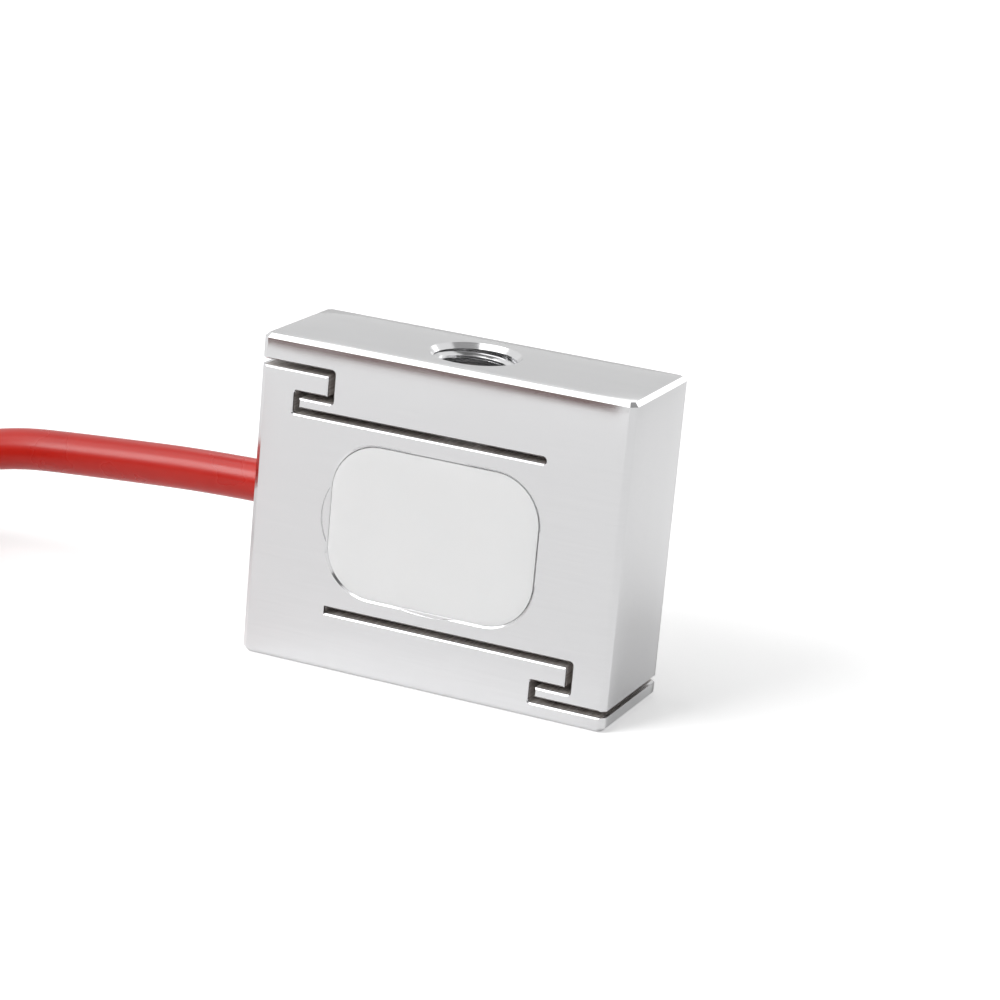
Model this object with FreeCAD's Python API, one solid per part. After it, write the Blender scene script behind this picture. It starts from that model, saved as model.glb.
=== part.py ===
# Miniature S type load cell with an integral cable.
#
# A flat block of stainless steel is cut through by two hooked slots, so that its
# upper and lower slabs are joined only by the thin walls above and below a gauge
# window.  A pull or push on the two threaded holes bends those walls, and foil
# gauges bonded inside the window measure it.  The hooks of the slots close on
# each other as overload stops.  Both mouths of the window are potted in white
# silicone.  Millimetres, +Z up; the cell stands on its lower loading face, with
# the origin at the middle of that face, its front towards -Y, its cable on -X.
import FreeCAD, Part
import math
import os
from FreeCAD import Vector

# ---- Sensing body -----------------------------------------------------------
body_width = 19.0             # X
body_depth = 6.9              # Y, front face to rear face
body_height = 15.9            # Z, between the two loading faces
side_chamfer = 0.3            # broken upright edges
end_chamfer = 0.2             # broken edges round the loading faces

# ---- Slots ------------------------------------------------------------------
slot_gap = 0.32               # width of the wire cut
slot_lip = 0.07               # broken edge along each slot on both faces
top_slab = 1.22               # slab above the slot that opens on the left
bottom_slab = 0.73            # slab below the slot that opens on the right
side_column = 1.97            # side face to the middle of the outer hook cut
hook_tongue = 1.77            # between the two upright cuts of a hook
hook_step = 0.79              # lower bar of a hook to its middle bar
end_wall = 4.12               # solid steel beyond the closed end of a long slot

# ---- Gauge window -----------------------------------------------------------
window_centre = 7.7           # height of its middle
window_width = 10.68
window_height = 7.48
window_radius = 2.4
window_lip = 0.12             # broken edge of its mouth
flexure_wall = 0.83           # steel between the window and each long slot
recess_width = 11.5           # shallow oval spot face round the mouth
recess_height = 7.92
recess_depth = 0.07

# ---- Threaded holes, M4 x 0.5 -----------------------------------------------
thread_diameter = 4.0         # plain bore at the thread's major diameter
mouth_diameter = 4.5          # countersink at 90 degrees

# ---- Potting and bridge -----------------------------------------------------
potting_inset = 0.13          # potting surface behind the face of the body
potting_edge = 0.10           # the silicone falls away at the steel
cavity_depth = 2.3            # space for the bridge between the two pottings
gauge_length = 2.2
gauge_width = 1.6
gauge_thickness = 0.08
gauge_margin = 0.14           # from a gauge to the rounded corner of the window
board_side = 3.14             # from the board to each side of the window
board_height = 2.6
board_thickness = 0.4
chip_length = 1.6
chip_width = 0.5
chip_thickness = 0.45
chip_pitch = 0.8
lead_diameter = 0.16          # enamelled wire from a gauge to the board
lead_lift = 0.3               # its bend clear of the board's edge
lead_foot = 0.35              # its length on the board

# ---- Cable ------------------------------------------------------------------
cable_diameter = 2.1
cable_hole = 2.6
cable_height = 7.6            # its axis where it leaves the side face
jacket_stop = 0.45            # jacket that shows inside the window
core_diameter = 0.45          # insulated conductor
core_offset = 0.36            # conductors from the cable's axis, in Y and in Z
core_foot = 0.8               # conductor lying on the board
core_reach = 0.4              # its bend clear of the board's edge
core_pitch = 0.64             # between conductors on the board

# ---- Coil of the stored cable and its free end ------------------------------
coil_away = 48.4              # middle of the coil from the middle of the body
coil_diameter = 23.5          # at the middle of the turns
coil_meeting = 8.5            # end of the lead from the middle of the coil, in X
coil_columns = 5
coil_rows = 4
tie_width = 2.4
tie_thickness = 0.4
sleeve_diameter = 2.6
sleeve_length = 7.0
sleeve_cover = 4.0            # how much of the sleeve is on the jacket
sleeve_taper = 1.8            # from the jacket's end to the neck
neck_diameter = 1.9
tail_start = 262              # angle on the coil where the tail rises from its turns
tail_step = 5.1               # its runs, and how much each turns from the last
tail_turn = 24
tail_length = 9.0
tip_diameter = 0.3
tip_length = 3.0

# ---- Worked out -------------------------------------------------------------
front = -body_depth / 2
half_width = body_width / 2
window_half = window_height / 2
upper_slot = window_centre + window_half + flexure_wall + slot_gap / 2
lower_slot = window_centre - window_half - flexure_wall - slot_gap / 2
entry_slot = body_height - top_slab - slot_gap / 2
exit_slot = bottom_slab + slot_gap / 2
hook_outer = half_width - side_column
hook_inner = hook_outer - hook_tongue
long_end = half_width - end_wall - slot_gap / 2
cavity_half = cavity_depth / 2
board_front = cavity_half - board_thickness
board_width = window_width - 2 * board_side

parts = {}


# ---- Shapes used by several parts -------------------------------------------
def rounded_rectangle(width, height, radius, y, centre_z):
    """Outline with rounded corners, upright in the plane at y."""
    half_w, half_h, k = width / 2, height / 2, radius * (1 - math.sqrt(0.5))
    corners = []
    for sx, sz in ((1, 1), (-1, 1), (-1, -1), (1, -1)):
        side = Vector(sx * half_w, y, centre_z + sz * (half_h - radius))
        middle = Vector(sx * (half_w - k), y, centre_z + sz * (half_h - k))
        cap = Vector(sx * (half_w - radius), y, centre_z + sz * half_h)
        corners.append((side, middle, cap) if sx == sz else (cap, middle, side))
    edges = []
    for i, (a, b, c) in enumerate(corners):
        edges.append(Part.Arc(a, b, c).toShape())
        edges.append(Part.LineSegment(c, corners[(i + 1) % 4][0]).toShape())
    return Part.Wire(edges)


def tube(points, diameter, name=None):
    """Round bar along straight runs joined by tangent arcs, each arc as large
    as its two runs allow."""
    points = [Vector(*p) for p in points]
    solids, start, length, radii = [], points[0], 0.0, []
    for before, at, after in zip(points, points[1:], points[2:]):
        setback = 0.45 * min((at - before).Length, (after - at).Length)
        heading, leaving = (at - before).normalize(), (after - at).normalize()
        turn = heading.getAngle(leaving)
        radius = setback / math.tan(turn / 2)
        bend = at - heading * setback
        solids.append(Part.makeCylinder(diameter / 2, (bend - start).Length, start, heading))
        axis = heading.cross(leaving).normalize()
        section = Part.Face(Part.Wire(Part.Circle(bend, heading, diameter / 2).toShape()))
        centre = bend + axis.cross(heading) * radius
        solids.append(section.revolve(centre, axis, math.degrees(turn)))
        length += (bend - start).Length + radius * turn
        start = at + leaving * setback
        radii.append(radius)
    last = points[-1] - start
    solids.append(Part.makeCylinder(diameter / 2, last.Length, start, last))
    solid = solids[0].multiFuse(solids[1:])
    if name:
        length += last.Length
        share = solid.Volume / (math.pi * diameter ** 2 / 4 * length)
        print("%s: length %.2f, smallest radius %.1f, volume over section x length %.4f"
              % (name, length, min(radii), share))
    return solid.Solids[0]


def fine_wire(points, diameter):
    """Wire too thin to need a round section: a six-sided bar, mitred at its bend."""
    points = [Vector(*p) for p in points]
    heading = (points[1] - points[0]).normalize()
    side = heading.cross(Vector(0, 0, 1) if abs(heading.z) < 0.9 else Vector(1, 0, 0))
    side.normalize()
    other = heading.cross(side)
    ring = [points[0] + (side * math.cos(math.radians(a)) + other * math.sin(math.radians(a)))
            * (diameter / 2) for a in range(0, 420, 60)]
    if len(points) == 2:
        return Part.Face(Part.makePolygon(ring)).extrude(points[1] - points[0])
    sweep = Part.BRepOffsetAPI.MakePipeShell(Part.makePolygon(points))
    sweep.setTransitionMode(1)
    sweep.add(Part.makePolygon(ring))
    sweep.build()
    sweep.makeSolid()
    return sweep.shape()


# ---- Sensing body -----------------------------------------------------------
def broken_block():
    """The block with its upright edges broken first, then both end faces."""
    block = Part.makeBox(body_width, body_depth, body_height,
                         Vector(-half_width, front, 0))
    upright = [e for e in block.Edges if e.BoundBox.ZLength > body_height / 2]
    block = block.makeChamfer(side_chamfer, upright)
    ends = [e for e in block.Edges if e.BoundBox.ZLength < 1e-6]
    return block.makeChamfer(end_chamfer, ends)


def wire_cut(path):
    """What the cutting wire removes along a path of (x, z) points, with the lips
    on both faces flared by slot_lip."""
    reach, half = body_depth / 2 + slot_lip, slot_gap / 2
    flare = [(half, -body_depth / 2 + slot_lip), (half + 2 * slot_lip, -reach)]
    profile = [(half + 2 * slot_lip, reach), (half, body_depth / 2 - slot_lip)] + flare
    cut = None
    for (x0, z0), (x1, z1) in zip(path, path[1:]):
        along = Vector(x1 - x0, 0, z1 - z0)
        across = Vector(0, 1, 0).cross(along).normalize()
        ring = [(o, y) for o, y in profile] + [(-o, y) for o, y in reversed(profile)]
        ring = [Vector(x0, 0, z0) + across * o + Vector(0, y, 0) for o, y in ring]
        run = Part.Face(Part.makePolygon(ring + ring[:1])).extrude(along)
        turned = [Vector(x1, 0, z1) + Vector(o, y, 0)
                  for o, y in [(0, reach)] + profile + [(0, -reach)]]
        corner = Part.Face(Part.makePolygon(turned + turned[:1]))
        corner = corner.revolve(Vector(x1, 0, z1), Vector(0, 1, 0), 360)
        cut = run.fuse(corner) if cut is None else cut.fuse([run, corner])
    return cut.removeSplitter()


def hook_path(first_x, top, second_x, third_x, bottom, last_x):
    """A slot that steps down through a hook: top bar, middle bar, bottom bar."""
    middle = bottom + hook_step
    return [(first_x, top), (second_x, top), (second_x, middle),
            (third_x, middle), (third_x, bottom), (last_x, bottom)]


def window_cut():
    """The window through the body, its flared mouths and the oval spot faces."""
    tools = []
    for side in (-1, 1):
        face = side * body_depth / 2
        wires = [rounded_rectangle(window_width + 2 * grow, window_height + 2 * grow,
                                   window_radius + grow, face + side * (grow - window_lip),
                                   window_centre)
                 for grow in (0, 2 * window_lip)]
        tools.append(Part.makeLoft(wires, True, True))
        oval = Part.Ellipse(Vector(0, face - side * recess_depth, window_centre),
                            recess_width / 2, recess_height / 2)
        oval.Axis = Vector(0, 1, 0)
        oval.XAxis = Vector(1, 0, 0)
        outline = Part.Face(Part.Wire([oval.toShape()]))
        tools.append(outline.extrude(Vector(0, side * 2 * recess_depth, 0)))
    mouth = rounded_rectangle(window_width, window_height, window_radius,
                              front + window_lip / 2, window_centre)
    depth = Vector(0, body_depth - window_lip, 0)
    return Part.Face(mouth).extrude(depth), tools


def threaded_bore(face_z, slot_z):
    """Bore from a loading face into the long slot, with its countersink."""
    out = 1 if face_z > slot_z else -1
    bore = Part.makeCylinder(thread_diameter / 2, abs(face_z - slot_z),
                             Vector(0, 0, slot_z), Vector(0, 0, out))
    sink = (mouth_diameter - thread_diameter) / 2
    cone = Part.makeCone(thread_diameter / 2, mouth_diameter / 2 + sink, 2 * sink,
                         Vector(0, 0, face_z - out * sink), Vector(0, 0, out))
    return bore.fuse(cone)


def sensing_body():
    upper = hook_path(-body_width, entry_slot, -hook_inner, -hook_outer,
                      upper_slot, long_end)
    lower = hook_path(-long_end, lower_slot, hook_outer, hook_inner,
                      exit_slot, body_width)
    window, mouths = window_cut()
    cable_bore = Part.makeCylinder(cable_hole / 2, half_width,
                                   Vector(-half_width, 0, cable_height), Vector(1, 0, 0))
    body = broken_block()
    for tool in (wire_cut(upper), wire_cut(lower), window, *mouths, cable_bore,
                 threaded_bore(body_height, upper_slot), threaded_bore(0, lower_slot)):
        body = body.cut(tool)
    return body.removeSplitter()


parts["sensing_body"] = sensing_body()


# ---- Potting ----------------------------------------------------------------
def potting(side):
    """Silicone that fills one mouth of the window, down to the bridge."""
    surface = side * (body_depth / 2 - potting_inset)
    outline = rounded_rectangle(window_width, window_height, window_radius,
                                surface, window_centre)
    solid = Part.Face(outline).extrude(Vector(0, side * cavity_half - surface, 0))
    rim = [e for e in solid.Edges if abs(e.BoundBox.Center.y - surface) < 1e-6
           and e.BoundBox.YLength < 1e-6]
    return solid.makeChamfer(potting_edge, rim)


parts["front_potting"] = potting(-1)
parts["rear_potting"] = potting(1)


# ---- Strain gauges and the wires to the board -------------------------------
gauge_x = window_width / 2 - window_radius - gauge_margin - gauge_length / 2
lead_x = gauge_x - gauge_length / 2 + lead_diameter
lead_rest = board_front - lead_diameter / 2
for level, up in (("upper", 1), ("lower", -1)):
    wall = window_centre + up * window_half
    pad = wall - up * gauge_thickness
    board_edge = window_centre + up * board_height / 2
    for hand, side in (("left", -1), ("right", 1)):
        gauge = Part.makeBox(gauge_length, gauge_width, gauge_thickness,
                             Vector(side * gauge_x - gauge_length / 2,
                                    -gauge_width / 2, min(wall, pad)))
        parts["gauge_%s_%s" % (level, hand)] = gauge
        x = side * lead_x
        lead = fine_wire([(x, 0, pad), (x, lead_rest, board_edge + up * lead_lift),
                          (x, lead_rest, board_edge - up * lead_foot)], lead_diameter)
        parts["gauge_lead_%s_%s" % (level, hand)] = lead.cut(gauge)


# ---- Terminal board with its two trimming resistors -------------------------
parts["terminal_board"] = Part.makeBox(
    board_width, board_thickness, board_height,
    Vector(-board_width / 2, board_front, window_centre - board_height / 2))
for name, up in (("span_resistor", 1), ("balance_resistor", -1)):
    parts[name] = Part.makeBox(
        chip_length, chip_thickness, chip_width,
        Vector(0, board_front - chip_thickness,
               window_centre + up * chip_pitch / 2 - chip_width / 2))


# ---- Cable: lead, seal and the conductors inside ----------------------------
# The lead leaves the side face level and sags towards the surface that the cell
# stands on, where it joins the lowest outer turn of the coil.
jacket_end = -window_width / 2 + jacket_stop
lead_points = [(jacket_end, 0, cable_height), (-12.0, 0, cable_height), (-20.0, 0, 6.93),
               (-25.6, 0.25, 6.15), (-31.0, 1.0, 4.0), (-35.6, 1.9, 1.95),
               (coil_meeting - coil_away, body_depth / 2 - cable_diameter / 2, 1.55)]
parts["cable_lead"] = tube(lead_points, cable_diameter, "cable_lead")

seal = Part.makeCylinder(cable_hole / 2, half_width - window_width / 2,
                         Vector(-half_width, 0, cable_height), Vector(1, 0, 0))
parts["entry_seal"] = seal.cut(parts["cable_lead"])

core_rest = board_front - core_diameter / 2
core_places = {"black": (-1, 1, 1.5), "red": (1, 1, 0.5),
               "green": (1, -1, -0.5), "white": (-1, -1, -1.5)}
for colour, (side, up, place) in core_places.items():
    land_z, board_left = window_centre + place * core_pitch, -board_width / 2
    core = fine_wire([(jacket_end, side * core_offset, cable_height + up * core_offset),
                      (board_left - core_reach, core_rest, land_z),
                      (board_left + core_foot, core_rest, land_z)], core_diameter)
    parts["inner_wire_" + colour] = core.cut(parts["cable_lead"])


# ---- Coil of the stored cable -----------------------------------------------
coil_floor = tie_thickness
coil_outer = coil_diameter / 2 + coil_columns * cable_diameter / 2
coil_top = coil_floor + coil_rows * cable_diameter
coil_centre = Vector(-coil_away, body_depth / 2 - coil_outer, 0)


def bevelled_section(grow):
    """Section of the coiled turns, grown by a band's thickness, in the plane y = 0
    with its middle at the middle of the turns."""
    half_w = coil_columns * cable_diameter / 2 + grow
    low, high, cut = coil_floor - grow, coil_top + grow, (cable_diameter / 2 + grow) * 0.59
    corners = [(half_w, low + cut), (half_w, high - cut), (half_w - cut, high),
               (cut - half_w, high), (-half_w, high - cut), (-half_w, low + cut),
               (cut - half_w, low), (half_w - cut, low)]
    ring = [Vector(coil_diameter / 2 + x, 0, z) for x, z in corners]
    return Part.Face(Part.makePolygon(ring + ring[:1]))


def coil():
    """Outer shape of the neat coil, turns side by side and on each other."""
    ring = bevelled_section(0).revolve(Vector(0, 0, 0), Vector(0, 0, 1), 360)
    ring.translate(coil_centre)
    return ring


def coil_tie(angle):
    """Band round the turns of the coil at one place."""
    band = bevelled_section(tie_thickness).extrude(Vector(0, tie_width, 0))
    band.translate(Vector(0, -tie_width / 2, 0))
    band.rotate(Vector(0, 0, 0), Vector(0, 0, 1), angle)
    band.translate(coil_centre)
    return band.cut(parts["cable_coil"])


parts["cable_coil"] = coil()
parts["coil_tie_left"] = coil_tie(215)
parts["coil_tie_right"] = coil_tie(125)

# ---- Free end of the cable --------------------------------------------------
# The tail rises from the top turns, curves in over them and lies on the coil.  It
# ends in a shrink sleeve that tapers onto four conductors and the twisted screen.
tail_points, heading = [], tail_start + 104
point = coil_centre + Vector(0, 0, coil_top + sleeve_diameter / 2)
point += Vector(math.cos(math.radians(tail_start)), math.sin(math.radians(tail_start)),
                0) * (coil_outer - cable_diameter * 6 / 7)
for drop in (1.05, 0.67, 0.19, 0, 0, 0):
    tail_points.append(point - Vector(0, 0, drop * cable_diameter))
    point += Vector(math.cos(math.radians(heading)), math.sin(math.radians(heading)),
                    0) * tail_step
    heading += tail_turn
tail = tube(tail_points, cable_diameter, "cable_tail").cut(parts["cable_coil"])
parts["cable_tail"] = max(tail.Solids, key=lambda solid: solid.Volume)
tail_end = tail_points[-1]
along = (tail_end - tail_points[-2]).normalize()
across = Vector(along.y, -along.x, 0)


def end_sleeve():
    """Sleeve of revolution: open over the jacket, closed down on the cores."""
    outer, neck = sleeve_diameter / 2, neck_diameter / 2
    shoulder = sleeve_taper / 4
    profile = [(-sleeve_cover, 0), (-sleeve_cover, outer), (shoulder, outer),
               (sleeve_taper, neck), (sleeve_length - sleeve_cover, neck),
               (sleeve_length - sleeve_cover, 0)]
    ring = [tail_end + along * a + across * r for a, r in profile]
    solid = Part.Face(Part.makePolygon(ring + ring[:1])).revolve(tail_end, along, 360)
    return solid.cut(parts["cable_tail"])


parts["end_sleeve"] = end_sleeve()
sleeve_end = tail_end + along * (sleeve_length - sleeve_cover)
tail_run = tail_length - tip_length
tails = {"red": (-1, 1, -2.6), "black": (1, 1, 1.15), "green": (-1, -1, -1.0),
         "white": (1, -1, 2.6), "screen": (0, 0, 0.1)}
for colour, (side, up, splay) in tails.items():
    first = sleeve_end + across * side * core_offset + Vector(0, 0, up * core_offset)
    points = [first]
    for share, height in ((0.62, 0.4), (1.0, 0.31)):
        point = sleeve_end + along * tail_run * share + across * splay * share ** 1.3
        points.append(Vector(point.x, point.y, coil_top + height))
    parts["tail_" + colour] = fine_wire(points, core_diameter).cut(parts["end_sleeve"])
    if colour != "screen":
        bare = (points[-1] - points[-2]).normalize() * tip_length
        parts["tip_" + colour] = fine_wire([points[-1], points[-1] + bare], tip_diameter)

for name, shape in parts.items():
    print(name, shape.isValid(), len(shape.Solids), round(shape.Volume, 3))
os.makedirs("parts", exist_ok=True)
for name, shape in parts.items():
    shape.exportStep("parts/%s.step" % name)
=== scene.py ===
# Miniature S type load cell with an integral red cable, dressed over its packed
# CAD frame.  Metres, +Z up: the cell stands on its lower loading face with its
# front towards -Y, and the cable leaves the side face on -X.
import math

import bmesh
import bpy
import numpy as np
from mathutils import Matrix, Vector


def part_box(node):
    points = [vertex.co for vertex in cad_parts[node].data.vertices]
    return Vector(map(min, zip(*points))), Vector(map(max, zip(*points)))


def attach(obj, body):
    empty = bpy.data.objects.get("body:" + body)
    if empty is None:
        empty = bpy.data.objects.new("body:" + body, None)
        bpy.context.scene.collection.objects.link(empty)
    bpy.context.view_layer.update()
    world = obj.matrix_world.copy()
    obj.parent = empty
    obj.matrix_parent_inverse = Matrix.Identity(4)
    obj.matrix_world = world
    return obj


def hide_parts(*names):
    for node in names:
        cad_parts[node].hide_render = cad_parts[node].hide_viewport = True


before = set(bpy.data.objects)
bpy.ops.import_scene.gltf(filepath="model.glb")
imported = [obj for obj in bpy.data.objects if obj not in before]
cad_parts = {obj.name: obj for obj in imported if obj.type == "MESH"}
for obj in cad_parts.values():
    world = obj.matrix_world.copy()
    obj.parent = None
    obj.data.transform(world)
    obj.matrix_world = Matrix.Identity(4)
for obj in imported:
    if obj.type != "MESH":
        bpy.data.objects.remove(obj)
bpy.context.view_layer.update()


# ---- Sensing body -----------------------------------------------------------
# One block of stainless steel, ground flat on all six sides, wire cut into its S
# form with hooked slots and then tumbled.  Its CAD solid has every form of the
# real one, so it keeps its mesh and takes its finish here.
MM = 0.001      # lengths are named in millimetres, and this turns them to metres
body_low, body_high = np.array(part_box("sensing_body")) / MM
body_middle = np.round((body_high + body_low) / 2, 3)
body_half = np.round((body_high - body_low) / 2, 3)


def linear(code):
    """The linear colour of an sRGB hex value, each channel by the sRGB curve."""
    channels = [int(code[i:i + 2], 16) / 255 for i in (0, 2, 4)]
    return [c / 12.92 if c <= 0.04045 else ((c + 0.055) / 1.055) ** 2.4
            for c in channels] + [1.0]


def new_material(name):
    """An empty material of that name."""
    finish = bpy.data.materials.new(name)
    finish.use_nodes = True
    finish.node_tree.nodes.clear()
    return finish


def add(finish, kind, inputs=None, **settings):
    """Add one shader node with its settings; an input is a value or a socket."""
    made = finish.node_tree.nodes.new("ShaderNode" + kind)
    for name, value in settings.items():
        setattr(made, name, value)
    for name, value in (inputs or {}).items():
        if isinstance(value, bpy.types.NodeSocket):
            finish.node_tree.links.new(value, made.inputs[name])
        else:
            made.inputs[name].default_value = value
    return made


def dress(name, finish):
    """Give a CAD node its finish in every material slot of its object."""
    for slot in bpy.data.objects[name].material_slots:
        slot.material = finish


# Ground and tumbled stainless steel: smooth and fairly bright.  Tumbling rounds the
# outer faces by up to about 11 degrees towards each of their edges, and the shading
# normal follows it: it leans outwards by roll_lean x exp(-distance / roll_width).
roll_lean, roll_width = 0.24, 1.0
face_depth = 0.004      # what lies within this of an outer plane is on that face

ground_steel = new_material("ground_tumbled_stainless_steel")
place = add(ground_steel, "TexCoord").outputs["Object"]
from_middle = add(ground_steel, "VectorMath", {
    0: place, 1: tuple(body_middle * MM)}, operation="SUBTRACT").outputs[0]
outwards = add(ground_steel, "VectorMath", {0: from_middle}, operation="SIGN").outputs[0]
offset = add(ground_steel, "VectorMath", {0: from_middle}, operation="ABSOLUTE").outputs[0]
to_edge = add(ground_steel, "VectorMath", {
    0: tuple(body_half * MM), 1: offset}, operation="SUBTRACT").outputs[0]
in_widths = add(ground_steel, "SeparateXYZ", {
    0: add(ground_steel, "VectorMath", {
        0: to_edge, "Scale": -1 / (roll_width * MM)}, operation="SCALE").outputs[0]})
roll_off = add(ground_steel, "CombineXYZ", {
    axis: add(ground_steel, "Math", {0: in_widths.outputs[axis]},
              operation="EXPONENT").outputs[0] for axis in "XYZ"}).outputs[0]
depth = add(ground_steel, "SeparateXYZ", {0: to_edge}).outputs
nearest = add(ground_steel, "Math", {
    0: add(ground_steel, "Math", {0: depth["X"], 1: depth["Y"]},
           operation="MINIMUM").outputs[0],
    1: depth["Z"]}, operation="MINIMUM").outputs[0]
on_face = add(ground_steel, "Math", {
    0: nearest, 1: face_depth * MM}, operation="LESS_THAN").outputs[0]
lean_here = add(ground_steel, "Math", {
    0: on_face, 1: roll_lean}, operation="MULTIPLY").outputs[0]
lean = add(ground_steel, "VectorMath", {
    0: add(ground_steel, "VectorMath", {
        0: roll_off, 1: outwards}, operation="MULTIPLY").outputs[0],
    "Scale": lean_here}, operation="SCALE").outputs[0]
normal = add(ground_steel, "NewGeometry").outputs["Normal"]
eased_normal = add(ground_steel, "VectorMath", {
    0: add(ground_steel, "VectorMath", {
        0: normal, 1: lean}, operation="ADD").outputs[0]},
    operation="NORMALIZE").outputs[0]

# The gloss drifts slowly, over clouds of about 4 mm, and follows the grinding lines.
# Real ones are finer: these are 0.1 mm apart and 3 mm long, which is coarse enough
# to show.
cloud = add(ground_steel, "TexNoise", {
    "Vector": place, "Scale": 0.24 / MM, "Detail": 2.0}).outputs[0]
lines = add(ground_steel, "TexNoise", {
    "Vector": add(ground_steel, "Mapping", {
        "Vector": place, "Scale": (0.3 / MM, 2.5 / MM, 9 / MM)}).outputs[0],
    "Scale": 1.0, "Detail": 2.0}).outputs[0]
gloss = add(ground_steel, "MapRange", {
    0: add(ground_steel, "Math", {0: lines, 1: cloud}).outputs[0],
    1: 0.6, 2: 1.4, 3: 0.13, 4: 0.19}).outputs[0]
tone = add(ground_steel, "MixRGB", {
    "Fac": lines, "Color1": linear("D4D4D5"), "Color2": linear("DADADB")}).outputs[0]

# The walls of the slots and the window keep the matt grey skin of the wire cut, with
# streaks 0.1 mm apart that run from front to back.  The skin starts below the broken
# edges, and the two threaded holes have none.
skin_starts, skin_full = 0.155, 0.175
hole_radius, hole_depth = 2.45, 3.35

across = add(ground_steel, "VectorMath", {
    0: place, 1: (1, 1, 0)}, operation="MULTIPLY").outputs[0]
radius = add(ground_steel, "VectorMath", {0: across}, operation="LENGTH").outputs["Value"]
in_hole = add(ground_steel, "Math", {
    0: add(ground_steel, "Math", {
        0: radius, 1: hole_radius * MM}, operation="LESS_THAN").outputs[0],
    1: add(ground_steel, "Math", {
        0: depth["Z"], 1: hole_depth * MM}, operation="LESS_THAN").outputs[0]},
    operation="MULTIPLY").outputs[0]
wire_cut = add(ground_steel, "Math", {
    0: add(ground_steel, "MapRange", {
        0: nearest, 1: skin_starts * MM, 2: skin_full * MM, 3: 0.0, 4: 1.0}).outputs[0],
    1: add(ground_steel, "Math", {
        0: 1.0, 1: in_hole}, operation="SUBTRACT").outputs[0]},
    operation="MULTIPLY").outputs[0]
streaks = add(ground_steel, "TexNoise", {
    "Vector": add(ground_steel, "Mapping", {
        "Vector": place, "Scale": (9 / MM, 0.35 / MM, 9 / MM)}).outputs[0],
    "Scale": 1.0, "Detail": 2.0}).outputs[0]
cut_tone = add(ground_steel, "MixRGB", {
    "Fac": add(ground_steel, "MapRange", {
        0: streaks, 1: 0.35, 2: 0.65, 3: 0.0, 4: 1.0}).outputs[0],
    "Color1": linear("ADA6A2"), "Color2": linear("D2CECB")}).outputs[0]
steel_surface = add(ground_steel, "BsdfPrincipled", {
    "Base Color": add(ground_steel, "MixRGB", {
        "Fac": wire_cut, "Color1": tone, "Color2": cut_tone}).outputs[0],
    "Metallic": add(ground_steel, "MapRange", {
        0: wire_cut, 1: 0.0, 2: 1.0, 3: 1.0, 4: 0.25}).outputs[0],
    "Roughness": add(ground_steel, "MixRGB", {
        "Fac": wire_cut, "Color1": gloss, "Color2": (0.42, 0.42, 0.42, 1.0)}).outputs[0],
    "Normal": eased_normal})
add(ground_steel, "OutputMaterial", {"Surface": steel_surface.outputs[0]})
dress("sensing_body", ground_steel)


# ---- Threads ----------------------------------------------------------------
# M4 x 0.5 threads cut in the two loading faces, through to the slots.  Each is one
# closed ridge that winds along the plain bore of the CAD solid and runs out in its
# countersink.
pitch, major, minor, countersink = 0.5, 2.0, 1.729, 2.25
upper_slot, lower_slot = 12.59, 2.81


def new_piece(name, points, faces, finish):
    """A smooth piece from an array of points in millimetres and a list of faces,
    riding on the cell."""
    mesh = bpy.data.meshes.new(name)
    mesh.from_pydata((points.reshape(-1, 3) * MM).tolist(), [], faces)
    mesh.polygons.foreach_set("use_smooth", [True] * len(mesh.polygons))
    mesh.materials.append(finish)
    piece = bpy.data.objects.new(name, mesh)
    bpy.context.scene.collection.objects.link(piece)
    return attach(piece, "root")


def turn_outwards(piece):
    """Turn the faces of a closed piece outwards."""
    shell = bmesh.new()
    shell.from_mesh(piece.data)
    bmesh.ops.recalc_face_normals(shell, faces=shell.faces)
    shell.to_mesh(piece.data)
    shell.free()


def tube_faces(rings, corners):
    """Faces of a closed tube, whose points are numbered ring by ring: four-sided
    ones round its side, and one with all of a ring's corners over each end."""
    ring, corner = np.meshgrid(np.arange(rings - 1), np.arange(corners), indexing="ij")
    after = (corner + 1) % corners
    side = np.stack([ring * corners + corner, ring * corners + after,
                     (ring + 1) * corners + after, (ring + 1) * corners + corner], -1)
    first_end = list(range(corners))[::-1]
    last_end = list(range((rings - 1) * corners, rings * corners))
    return side.reshape(-1, 4).tolist() + [first_end, last_end]


def thread_ridge(name, face_z, slot_z):
    """The section of the ridge, a 60 degree vee with a flat crest, is carried along
    the helix z = pitch x angle / turn, each of its points at its own radius.  The
    countersink leaves nothing nearer the axis than its mouth's radius less depth,
    and what it takes off is buried in the steel with the ridge's foot."""
    out = 1 if face_z > slot_z else -1
    flank = (major - minor) * math.tan(math.radians(30))
    crest, ease = pitch / 8, 0.01
    foot, buried = 0.06, 0.05
    first_depth, end_gap, crease, per_turn = flank + 0.11, 0.1, 22, 72
    half = np.array([(major + foot, flank + crest), (major + buried, flank + crest),
                     (minor + 2 * ease, crest + ease), (minor, crest - ease)])
    section = np.concatenate([half * (1, -1), half[::-1]])
    turns = (abs(face_z - slot_z) - 2 * flank - end_gap) / pitch
    angle = np.linspace(0, 2 * math.pi * turns, int(per_turn * turns))[:, None]
    below = first_depth + pitch * angle / (2 * math.pi) - section[:, 1] * out
    sunk = np.maximum(section[:, 0], countersink - below)
    radius = np.where(sunk > major, np.maximum(sunk, major + buried), sunk)
    points = np.stack([radius * np.cos(angle), -out * radius * np.sin(angle),
                       face_z - out * below], -1)
    piece = new_piece(name, points, tube_faces(len(angle), len(section)), ground_steel)
    piece.data.set_sharp_from_angle(angle=math.radians(crease))
    turn_outwards(piece)


thread_ridge("upper_thread_ridge", body_middle[2] + body_half[2], upper_slot)
thread_ridge("lower_thread_ridge", body_middle[2] - body_half[2], lower_slot)


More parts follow.
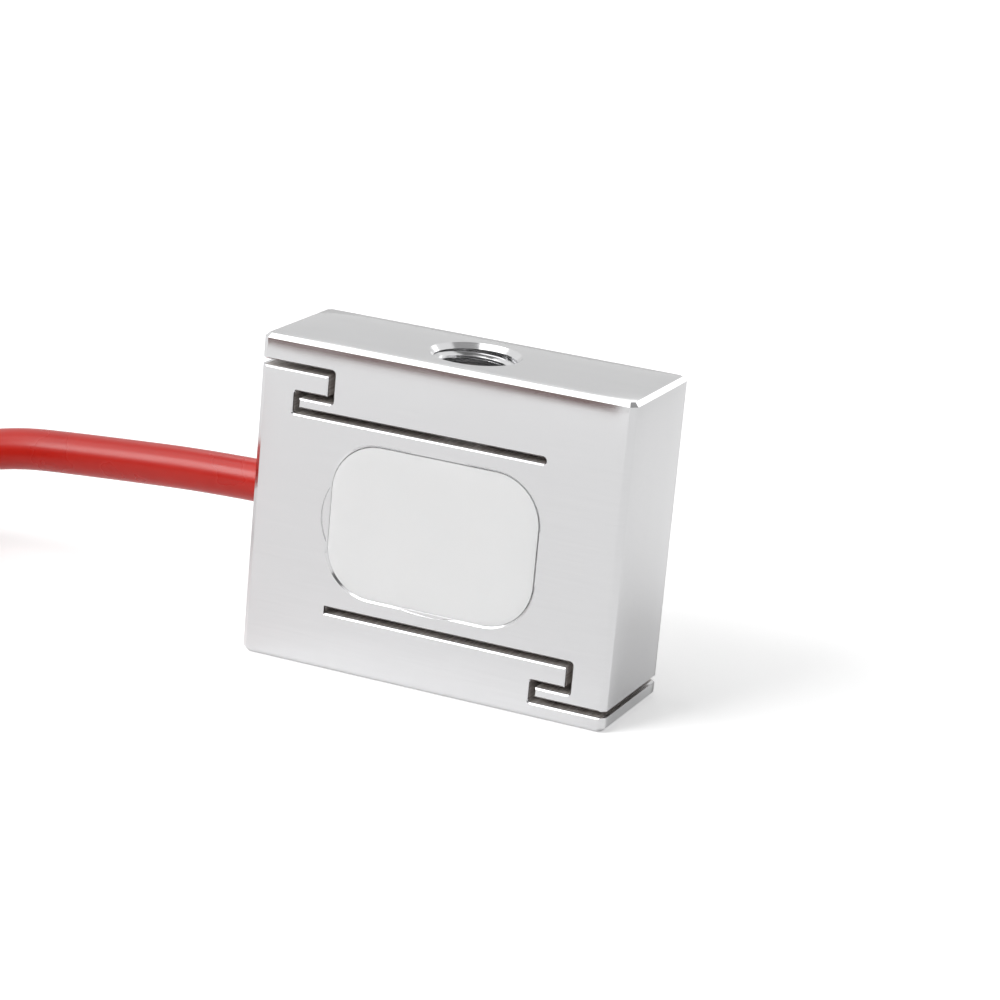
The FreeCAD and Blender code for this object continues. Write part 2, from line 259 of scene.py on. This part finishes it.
# ---- Potting ----------------------------------------------------------------
# White silicone poured into both mouths of the window, up to the broken edge.  It
# cures with a level middle and draws down a little at the steel, with a hairline
# gap all round.
window_centre, window_wide, window_high, window_round = 7.7, 10.68, 7.48, 2.4
surface_depth, cavity_half = 0.05, 1.15
hairline, foot_ride = 0.028, 0.05
draw_down, draw_width = 0.045, 0.2

# Cured silicone: a pale milky rubber that light enters by a few tenths of a
# millimetre, almost matt, with a fine grain of a quarter of a millimetre.
white_silicone = new_material("cured_white_silicone")
place = add(white_silicone, "TexCoord").outputs["Object"]
skin = add(white_silicone, "TexNoise", {
    "Vector": place, "Scale": 4.2 / MM, "Detail": 4.0, "Roughness": 0.55}).outputs[0]
settling = add(white_silicone, "TexNoise", {
    "Vector": place, "Scale": 0.3 / MM, "Detail": 2.0}).outputs[0]
milk = add(white_silicone, "MixRGB", {
    "Fac": settling, "Color1": linear("E4E5E5"), "Color2": linear("E9E9E9")}).outputs[0]
soft = add(white_silicone, "Bump", {
    "Height": skin, "Strength": 0.08, "Distance": 0.04 * MM}).outputs[0]
silicone_surface = add(white_silicone, "BsdfPrincipled", {
    "Base Color": milk, "Roughness": 0.5, "IOR": 1.41, "Normal": soft,
    "Subsurface Weight": 0.12, "Subsurface Radius": (1.0, 0.95, 0.9),
    "Subsurface Scale": 0.4 * MM})
add(white_silicone, "OutputMaterial", {"Surface": silicone_surface.outputs[0]})


def window_outline(turn):
    """Point on the window's edge for each share of a turn, and its outward normal:
    straight sides and quarter circles, each covering its own length, from the
    middle of the right side round by the top."""
    straight_x = window_wide - 2 * window_round
    straight_z = window_high - 2 * window_round
    arc = math.pi * window_round / 2
    runs = np.array([straight_z / 2, arc, straight_x, arc, straight_z, arc,
                     straight_x, arc, straight_z / 2])
    at = turn * runs.sum()
    starts = np.concatenate([[0], np.cumsum(runs)])
    which = np.clip(np.searchsorted(starts, at, side="right") - 1, 0, len(runs) - 1)
    along = at - starts[which]
    heading = np.array([0, 0, 90, 90, 180, 180, 270, 270, 360])[which]
    on_arc = which % 2 == 1
    facing = np.radians(heading + np.where(on_arc, np.degrees(along / window_round), 0))
    outward = np.stack([np.cos(facing), np.sin(facing)], -1)
    forward = np.stack([-np.sin(facing), np.cos(facing)], -1)
    hx, hz = straight_x / 2, straight_z / 2
    centres = np.array([(hx, 0), (hx, hz), (hx, hz), (-hx, hz), (-hx, hz),
                        (-hx, -hz), (-hx, -hz), (hx, -hz), (hx, -hz)])[which]
    slide = np.where(on_arc, 0, along)[:, None]
    return centres + outward * window_round + forward * slide, outward


def poured_silicone(name, node, side):
    """Rings of the window's outline, moved in along its normal by a distance s and
    then drawn to the middle.  The surface falls away towards the steel by
    draw_down x exp(-s / draw_width), rides up the broken edge at its foot, where it
    settled while it cured, and has a faint ripple in its middle."""
    round_points, edge_depth, ripple = 160, 0.08, 0.006
    edge, outward = window_outline(np.arange(round_points) / round_points)
    ride = foot_ride * np.clip(-outward[:, 1:], 0, 1)
    rings, levels = [edge - outward * hairline], [edge_depth + 0 * ride]
    for inset in (0, 0.015, 0.04, 0.08, 0.13, 0.2, 0.28, 0.38, 0.5, 0.7, 1.0):
        rings.append(edge + outward * (ride - hairline - inset))
        levels.append((draw_down - 0.4 * ride) * math.exp(-inset / draw_width))
    inner = rings[-1]
    for shrink in (0.8, 0.6, 0.4, 0.2, 0.05):
        rings.append(inner * shrink)
        levels.append(0 * ride)
    ring = np.array(rings)
    level = np.array(levels)[:, :, 0]
    wave = ripple * np.sin(ring[:, :, 0] * 0.9 + side) * np.cos(ring[:, :, 1] * 1.1)
    height = wave * (level < 0.002) - level
    y = side * (body_half[1] - surface_depth + height)
    front = np.stack([ring[:, :, 0], y, ring[:, :, 1] + window_centre], -1)
    back = front[:1].copy()
    back[:, :, 1] = side * cavity_half
    piece = new_piece(name, np.concatenate([back, front]),
                      tube_faces(len(ring) + 1, round_points), white_silicone)
    turn_outwards(piece)
    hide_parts(node)


poured_silicone("front_silicone", "front_potting", -1)
poured_silicone("rear_silicone", "rear_potting", 1)


# ---- Gauges -----------------------------------------------------------------
# Four foil gauges are glued to the walls of the window under the silicone, and an
# enamelled wire is soldered from each of them to the board.

# Polyimide foil: amber film with a row of bright tracks under a clear lacquer.  They
# are drawn three to the millimetre, though a real gauge has them finer.
foil = new_material("polyimide_gauge_foil")
place = add(foil, "TexCoord").outputs["Object"]
tracks = add(foil, "TexWave", {
    "Vector": place, "Scale": 1 / MM, "Distortion": 0.0},
    bands_direction="Y", wave_type="BANDS").outputs[1]
foil_tone = add(foil, "ValToRGB", {"Fac": tracks})
foil_tone.color_ramp.interpolation = "CONSTANT"
foil_tone.color_ramp.elements[0].color = linear("B9772A")
foil_tone.color_ramp.elements[1].color = linear("C9C2B2")
foil_tone.color_ramp.elements[1].position = 0.5
foil_surface = add(foil, "BsdfPrincipled", {
    "Base Color": foil_tone.outputs[0], "Roughness": 0.35, "Coat Weight": 0.6})
add(foil, "OutputMaterial", {"Surface": foil_surface.outputs[0]})

# Enamelled copper: drawn wire with a shiny brown lacquer, a little uneven along it.
enamel_wire = new_material("enamelled_copper_wire")
place = add(enamel_wire, "TexCoord").outputs["Object"]
lacquer = add(enamel_wire, "TexNoise", {"Vector": place, "Scale": 3 / MM}).outputs[0]
wire_tone = add(enamel_wire, "MixRGB", {
    "Fac": lacquer, "Color1": linear("9C4A1E"), "Color2": linear("B4602B")}).outputs[0]
wire_surface = add(enamel_wire, "BsdfPrincipled", {
    "Base Color": wire_tone, "Metallic": 1.0, "Roughness": 0.3, "Coat Weight": 0.8})
add(enamel_wire, "OutputMaterial", {"Surface": wire_surface.outputs[0]})

for level in ("upper", "lower"):
    for hand in ("left", "right"):
        dress("gauge_%s_%s" % (level, hand), foil)
        dress("gauge_lead_%s_%s" % (level, hand), enamel_wire)


# ---- Terminal board ---------------------------------------------------------
# A small board of glass laminate joins the bridge to the cable, with one chip
# resistor that sets the span and one that sets the balance.

# Glass and epoxy laminate: green and smooth, with the weave of its cloth just
# showing, four threads to the millimetre.
laminate = new_material("glass_epoxy_laminate")
place = add(laminate, "TexCoord").outputs["Object"]
weave = add(laminate, "TexChecker", {
    "Vector": place, "Scale": 4 / MM, "Color1": linear("3F6B3A"),
    "Color2": linear("4B7A43")}).outputs[0]
laminate_surface = add(laminate, "BsdfPrincipled", {
    "Base Color": weave, "Roughness": 0.4, "Coat Weight": 0.3})
add(laminate, "OutputMaterial", {"Surface": laminate_surface.outputs[0]})
dress("terminal_board", laminate)

# Glazed chip ceramic: nearly black and half glossy, faintly mottled.
ceramic = new_material("glazed_chip_ceramic")
place = add(ceramic, "TexCoord").outputs["Object"]
glaze = add(ceramic, "TexNoise", {"Vector": place, "Scale": 6 / MM}).outputs[0]
ceramic_tone = add(ceramic, "MixRGB", {
    "Fac": glaze, "Color1": linear("1B1B1D"), "Color2": linear("2A2A2C")}).outputs[0]
ceramic_surface = add(ceramic, "BsdfPrincipled", {
    "Base Color": ceramic_tone, "Roughness": 0.3})
add(ceramic, "OutputMaterial", {"Surface": ceramic_surface.outputs[0]})
dress("span_resistor", ceramic)
dress("balance_resistor", ceramic)


# ---- Cable ------------------------------------------------------------------
# A four-core screened cable of 2.1 mm in a smooth extruded red jacket, 1.5 m long.
# It leaves the side face level, sags to the surface that the cell stands on, and
# what isn't in use is put away in one neat coil held by two ties.
cable_diameter = 2.1
lead_route = [(-4.89, 0, 7.6), (-12.0, 0, 7.6), (-20.0, 0, 7.02), (-25.6, 0.25, 6.45),
              (-31.0, 1.0, 4.25), (-35.6, 1.85, 2.05), (-39.9, 2.2, 1.5),
              (-44.0, 2.3, 1.45)]
tail_route = [(-62.2, -22.2, 8.0), (-59.3, -25.7, 8.7), (-55.8, -28.1, 9.4),
              (-52.4, -29.3, 9.85), (-49.0, -29.3, 10.0), (-45.4, -28.2, 10.1),
              (-41.4, -25.5, 10.1), (-38.4, -21.4, 10.1), (-37.2, -16.4, 10.1),
              (-38.03, -11.42, 10.1)]

# Extruded jacket: an even deep red with a soft sheen, whose tone and gloss drift
# slowly over about 3 mm.
red_jacket = new_material("extruded_red_jacket")
place = add(red_jacket, "TexCoord").outputs["Object"]
bloom = add(red_jacket, "TexNoise", {
    "Vector": place, "Scale": 0.35 / MM, "Detail": 3.0}).outputs[0]
jacket_tone = add(red_jacket, "MixRGB", {
    "Fac": bloom, "Color1": linear("B31B12"), "Color2": linear("BE2217")}).outputs[0]
jacket_gloss = add(red_jacket, "MapRange", {
    0: bloom, 1: 0.3, 2: 0.7, 3: 0.25, 4: 0.33}).outputs[0]
jacket_surface = add(red_jacket, "BsdfPrincipled", {
    "Base Color": jacket_tone, "Roughness": jacket_gloss, "IOR": 1.42})
add(red_jacket, "OutputMaterial", {"Surface": jacket_surface.outputs[0]})


def coil_turns():
    """Points of the coil, a circle that steps between five places across and four
    rows up, wound inwards and outwards by turns.  Each step is one diameter, made in
    a fifth of a turn by 3s^2 - 2s^3.  A step up comes just before the place where
    that row steps across, so that no turn runs into another."""
    middle_x, middle_y, middle_radius, lowest = -48.4, -13.55, 11.75, 1.45
    turns, per_turn, step_length = 18.32, 20, 0.2
    turn = np.arange(0, turns, 1 / per_turn)

    def stepped(start):
        """How much of the step that starts there each point has made, 0 to 1."""
        share = np.clip((turn - start) / step_length, 0, 1)
        return share ** 2 * (3 - 2 * share)

    place_across, row = 0 * turn, 0 * turn
    for number, first_step in enumerate((0.8, 5.4, 10.0, 14.6)):
        for start in first_step + np.arange(4):
            place_across += (1 if number % 2 == 0 else -1) * stepped(start)
    for start in (4.6, 9.2, 13.8):
        row += stepped(start)
    # The spline runs inside its points by this share of the radius.
    drawn_in = 0.75 + 0.25 * math.cos(2 * math.pi / per_turn)
    radius = (middle_radius + cable_diameter * (2 - place_across)) / drawn_in
    angle = math.pi / 2 + 2 * math.pi * turn
    return np.stack([middle_x + radius * np.cos(angle),
                     middle_y + radius * np.sin(angle),
                     lowest + cable_diameter * row], -1)


route = np.concatenate([lead_route, coil_turns(), tail_route]) * MM
curve = bpy.data.curves.new("red_cable", "CURVE")
curve.dimensions = "3D"
curve.bevel_depth = cable_diameter / 2 * MM
curve.bevel_resolution = 10
curve.resolution_u = 8
curve.use_fill_caps = True
spline = curve.splines.new("NURBS")
spline.points.add(len(route) - 1)
spline.points.foreach_set("co", np.column_stack([route, np.ones(len(route))]).ravel())
spline.order_u = 3
spline.use_endpoint_u = True
curve.materials.append(red_jacket)
cable = bpy.data.objects.new("red_cable", curve)
bpy.context.scene.collection.objects.link(cable)
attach(cable, "root")
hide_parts("cable_lead", "cable_coil", "cable_tail")

cores = {"red": "A8201C", "black": "1A1A1C", "green": "1F6B38", "white": "E4E2DC"}
on_cable = ["coil_tie_left", "coil_tie_right", "end_sleeve", "tail_screen"]
on_cable += ["tail_" + colour for colour in cores] + ["tip_" + colour for colour in cores]


# ---- Entry seal -------------------------------------------------------------
# Adhesive run into the cable's bore, where it seals the jacket to the steel.  It is
# pale yellow, glossy and half clear, with a slightly wavy skin.
adhesive = new_material("clear_cured_adhesive")
place = add(adhesive, "TexCoord").outputs["Object"]
ripple = add(adhesive, "TexNoise", {"Vector": place, "Scale": 1.5 / MM}).outputs[0]
adhesive_relief = add(adhesive, "Bump", {
    "Height": ripple, "Strength": 0.2, "Distance": 0.03 * MM}).outputs[0]
adhesive_surface = add(adhesive, "BsdfPrincipled", {
    "Base Color": linear("D9CFB4"), "Roughness": 0.2, "IOR": 1.5,
    "Normal": adhesive_relief, "Subsurface Weight": 0.3, "Subsurface Scale": 0.5 * MM})
add(adhesive, "OutputMaterial", {"Surface": adhesive_surface.outputs[0]})
dress("entry_seal", adhesive)


# ---- Coil ties --------------------------------------------------------------
# Two straps of black nylon hold the coil.  Moulded nylon is a dark grey with a dull
# sheen, and its surface is slightly uneven at about half a millimetre.
nylon = new_material("black_nylon_strap")
place = add(nylon, "TexCoord").outputs["Object"]
grain = add(nylon, "TexNoise", {
    "Vector": place, "Scale": 2.5 / MM, "Detail": 3.0}).outputs[0]
nylon_tone = add(nylon, "MixRGB", {
    "Fac": grain, "Color1": linear("202124"), "Color2": linear("2C2D30")}).outputs[0]
nylon_relief = add(nylon, "Bump", {
    "Height": grain, "Strength": 0.25, "Distance": 0.05 * MM}).outputs[0]
nylon_surface = add(nylon, "BsdfPrincipled", {
    "Base Color": nylon_tone, "Roughness": 0.45, "Normal": nylon_relief})
add(nylon, "OutputMaterial", {"Surface": nylon_surface.outputs[0]})
dress("coil_tie_left", nylon)
dress("coil_tie_right", nylon)


# ---- Cable end --------------------------------------------------------------
# The free end is shrunk into a black sleeve, from which the four cores and the
# twisted screen come out.  The cores are bared and tinned at their tips.

# Heat-shrunk sleeve: black and rather matt, pulled into small waves.
shrink = new_material("black_shrink_sleeve")
place = add(shrink, "TexCoord").outputs["Object"]
pull = add(shrink, "TexNoise", {
    "Vector": place, "Scale": 1.2 / MM, "Detail": 3.0}).outputs[0]
shrink_tone = add(shrink, "MixRGB", {
    "Fac": pull, "Color1": linear("17181A"), "Color2": linear("232427")}).outputs[0]
shrink_relief = add(shrink, "Bump", {
    "Height": pull, "Strength": 0.3, "Distance": 0.08 * MM}).outputs[0]
shrink_surface = add(shrink, "BsdfPrincipled", {
    "Base Color": shrink_tone, "Roughness": 0.5, "Normal": shrink_relief})
add(shrink, "OutputMaterial", {"Surface": shrink_surface.outputs[0]})
dress("end_sleeve", shrink)

# Tinned copper strand: bright pale metal, ribbed aslant by its twisted wires.
# Its colour is painted darker in the grooves between the wires, as shade.
tinned = new_material("tinned_copper_strand")
place = add(tinned, "TexCoord").outputs["Object"]
strands = add(tinned, "TexWave", {
    "Vector": place, "Scale": 1.3 / MM, "Distortion": 1.0},
    bands_direction="DIAGONAL", wave_type="BANDS").outputs[1]
strand_relief = add(tinned, "Bump", {
    "Height": strands, "Strength": 0.6, "Distance": 0.06 * MM}).outputs[0]
# Painted shade: the tone is darker where the ribs dip, between the wires.
strand_tone_with_groove_shade = add(tinned, "MixRGB", {
    "Fac": strands, "Color1": linear("A9A8A4"), "Color2": linear("D2D1CD")}).outputs[0]
tinned_surface = add(tinned, "BsdfPrincipled", {
    "Base Color": strand_tone_with_groove_shade, "Metallic": 1.0, "Roughness": 0.3,
    "Normal": strand_relief})
add(tinned, "OutputMaterial", {"Surface": tinned_surface.outputs[0]})
dress("tail_screen", tinned)

# Core insulation: thin extruded plastic in the core's colour, slightly clouded.
for colour, code in cores.items():
    insulation = new_material("%s_core_insulation" % colour)
    place = add(insulation, "TexCoord").outputs["Object"]
    grain = add(insulation, "TexNoise", {
        "Vector": place, "Scale": 1.8 / MM, "Detail": 3.0}).outputs[0]
    darker = [c * 0.8 for c in linear(code)[:3]] + [1.0]
    core_tone = add(insulation, "MixRGB", {
        "Fac": grain, "Color1": darker, "Color2": linear(code)}).outputs[0]
    core_surface = add(insulation, "BsdfPrincipled", {
        "Base Color": core_tone, "Roughness": 0.4})
    add(insulation, "OutputMaterial", {"Surface": core_surface.outputs[0]})
    dress("inner_wire_" + colour, insulation)
    dress("tail_" + colour, insulation)
    dress("tip_" + colour, tinned)


# ---- Studio -----------------------------------------------------------------
# A plain pale floor in a white surround, lit by four softboxes.  The floor is lifted
# to white for the camera and by less in reflections, and keeps the cell's shadow.
# Five cards that only reflections show give the steel its tones.
aim_height = 8.0
camera_lift, reflected_lift, fill_level = 0.42, 0.19, 0.19


def ray_kinds(finish):
    """Two sockets: 1 for a ray from the camera, and 1 for that or for a ray sent on
    by gloss or by glass."""
    rays = add(finish, "LightPath").outputs
    seen = add(finish, "Math", {
        0: rays["Is Camera Ray"], 1: rays["Is Glossy Ray"]}, operation="MAXIMUM")
    seen = add(finish, "Math", {
        0: seen.outputs[0], 1: rays["Is Transmission Ray"]}, operation="MAXIMUM")
    return rays["Is Camera Ray"], seen.outputs[0]


paper = new_material("pale_floor")
from_camera, seen = ray_kinds(paper)
lift = add(paper, "MapRange", {
    0: from_camera, 1: 0.0, 2: 1.0, 3: reflected_lift, 4: camera_lift}).outputs[0]
glow = add(paper, "Math", {0: seen, 1: lift}, operation="MULTIPLY").outputs[0]
paper_glow = add(paper, "Emission", {"Color": linear("FFFFFF"), "Strength": glow})
paper_matt = add(paper, "BsdfDiffuse", {"Color": linear("F4F4F4")})
paper_both = add(paper, "AddShader", {0: paper_matt.outputs[0], 1: paper_glow.outputs[0]})
add(paper, "OutputMaterial", {"Surface": paper_both.outputs[0]})

floor_mesh = bpy.data.meshes.new("floor")
reach, floor_z = 2.5, -0.02 * MM
floor_mesh.from_pydata([(-reach, -reach, floor_z), (reach, -reach, floor_z),
                        (reach, reach, floor_z), (-reach, reach, floor_z)], [],
                       [(0, 1, 2, 3)])
floor_mesh.materials.append(paper)
floor = bpy.data.objects.new("floor", floor_mesh)
bpy.context.scene.collection.objects.link(floor)

surround = bpy.data.worlds.new("surround")
surround.use_nodes = True
surround.node_tree.nodes.clear()
from_camera, seen = ray_kinds(surround)
brightness = add(surround, "MapRange", {
    0: seen, 1: 0.0, 2: 1.0, 3: fill_level, 4: 1.0}).outputs[0]
sky = add(surround, "Background", {"Color": linear("FFFFFF"), "Strength": brightness})
add(surround, "OutputWorld", {"Surface": sky.outputs[0]})
bpy.context.scene.world = surround


def softbox(name, place, width, power):
    """A square lamp at a place, turned to face the middle of the cell, in metres
    and watts."""
    lamp = bpy.data.lights.new(name, "AREA")
    lamp.shape, lamp.size, lamp.energy = "SQUARE", width, power
    holder = bpy.data.objects.new(name, lamp)
    away = np.array(place) - (0, 0, aim_height * MM)
    holder.location = place
    holder.rotation_euler = (math.atan2(math.hypot(away[0], away[1]), away[2]), 0,
                             math.atan2(away[0], -away[1]))
    bpy.context.scene.collection.objects.link(holder)


softbox("overhead_softbox", (-0.30, -0.23, 0.72), 0.74, 2.8)
softbox("front_softbox", (-0.45, -0.65, 0.60), 0.5, 5.6)
softbox("edge_softbox", (0.27, 0.82, 0.36), 0.26, 0.23)
softbox("rear_softbox", (-0.30, 0.70, 0.75), 0.5, 1.1)


def card(name, place, width, height, finish):
    """A flat card at a place, in metres, turned to face the middle of the cell.  Its
    corners are its middle and half its width and height along the card's own axes.
    Reflections show it, but it neither shows to the camera, casts a shadow nor
    lights anything diffusely."""
    place = np.array(place)
    towards = np.array([0, 0, aim_height * MM]) - place
    across = np.cross((0, 0, 1), towards)
    across = across / np.linalg.norm(across) * width / 2
    up = np.cross(towards, across)
    up = up / np.linalg.norm(up) * height / 2
    corners = [place - across - up, place + across - up, place + across + up,
               place - across + up]
    mesh = bpy.data.meshes.new(name)
    mesh.from_pydata(np.array(corners).tolist(), [], [(0, 1, 2, 3)])
    mesh.materials.append(finish)
    sheet = bpy.data.objects.new(name, mesh)
    bpy.context.scene.collection.objects.link(sheet)
    sheet.visible_camera = False
    sheet.visible_diffuse = False
    sheet.visible_shadow = False


# Each card has one even tone, which no lamp changes.
card_finish = {}
for shade, colour, strength in (("brown", "8A6C68", 0.8), ("grey", "FFFFFF", 0.77),
                                ("dim", "FFFFFF", 0.42), ("dark", "FFFFFF", 0.16)):
    card_finish[shade] = new_material(shade + "_card")
    even = add(card_finish[shade], "Emission", {
        "Color": linear(colour), "Strength": strength})
    add(card_finish[shade], "OutputMaterial", {"Surface": even.outputs[0]})
card("front_flag", (-0.19, -0.25, 0.028), 0.34, 0.056, card_finish["brown"])
card("rear_card", (-0.19, 0.46, 0.165), 0.50, 0.27, card_finish["grey"])
card("overhead_flag", (-0.08, 0.20, 0.60), 0.44, 0.26, card_finish["dark"])
card("overhead_card", (0.25, -0.03, 0.60), 0.44, 0.50, card_finish["dim"])
card("right_flag", (0.44, -0.35, 0.51), 0.28, 0.30, card_finish["dark"])

# The camera stands to the right of the cell's front and looks down on it a little.
view = bpy.data.cameras.new("camera")
view.lens, view.sensor_width, view.clip_start = 119.258, 36.0, 0.01
camera = bpy.data.objects.new("camera", view)
camera.location = (0.058526, -0.139845, 0.052957)
camera.rotation_euler = [math.radians(a) for a in (73.7193, -5.1243, 23.5335)]
bpy.context.scene.collection.objects.link(camera)
bpy.context.scene.camera = camera
bpy.context.scene.view_settings.view_transform = "Standard"
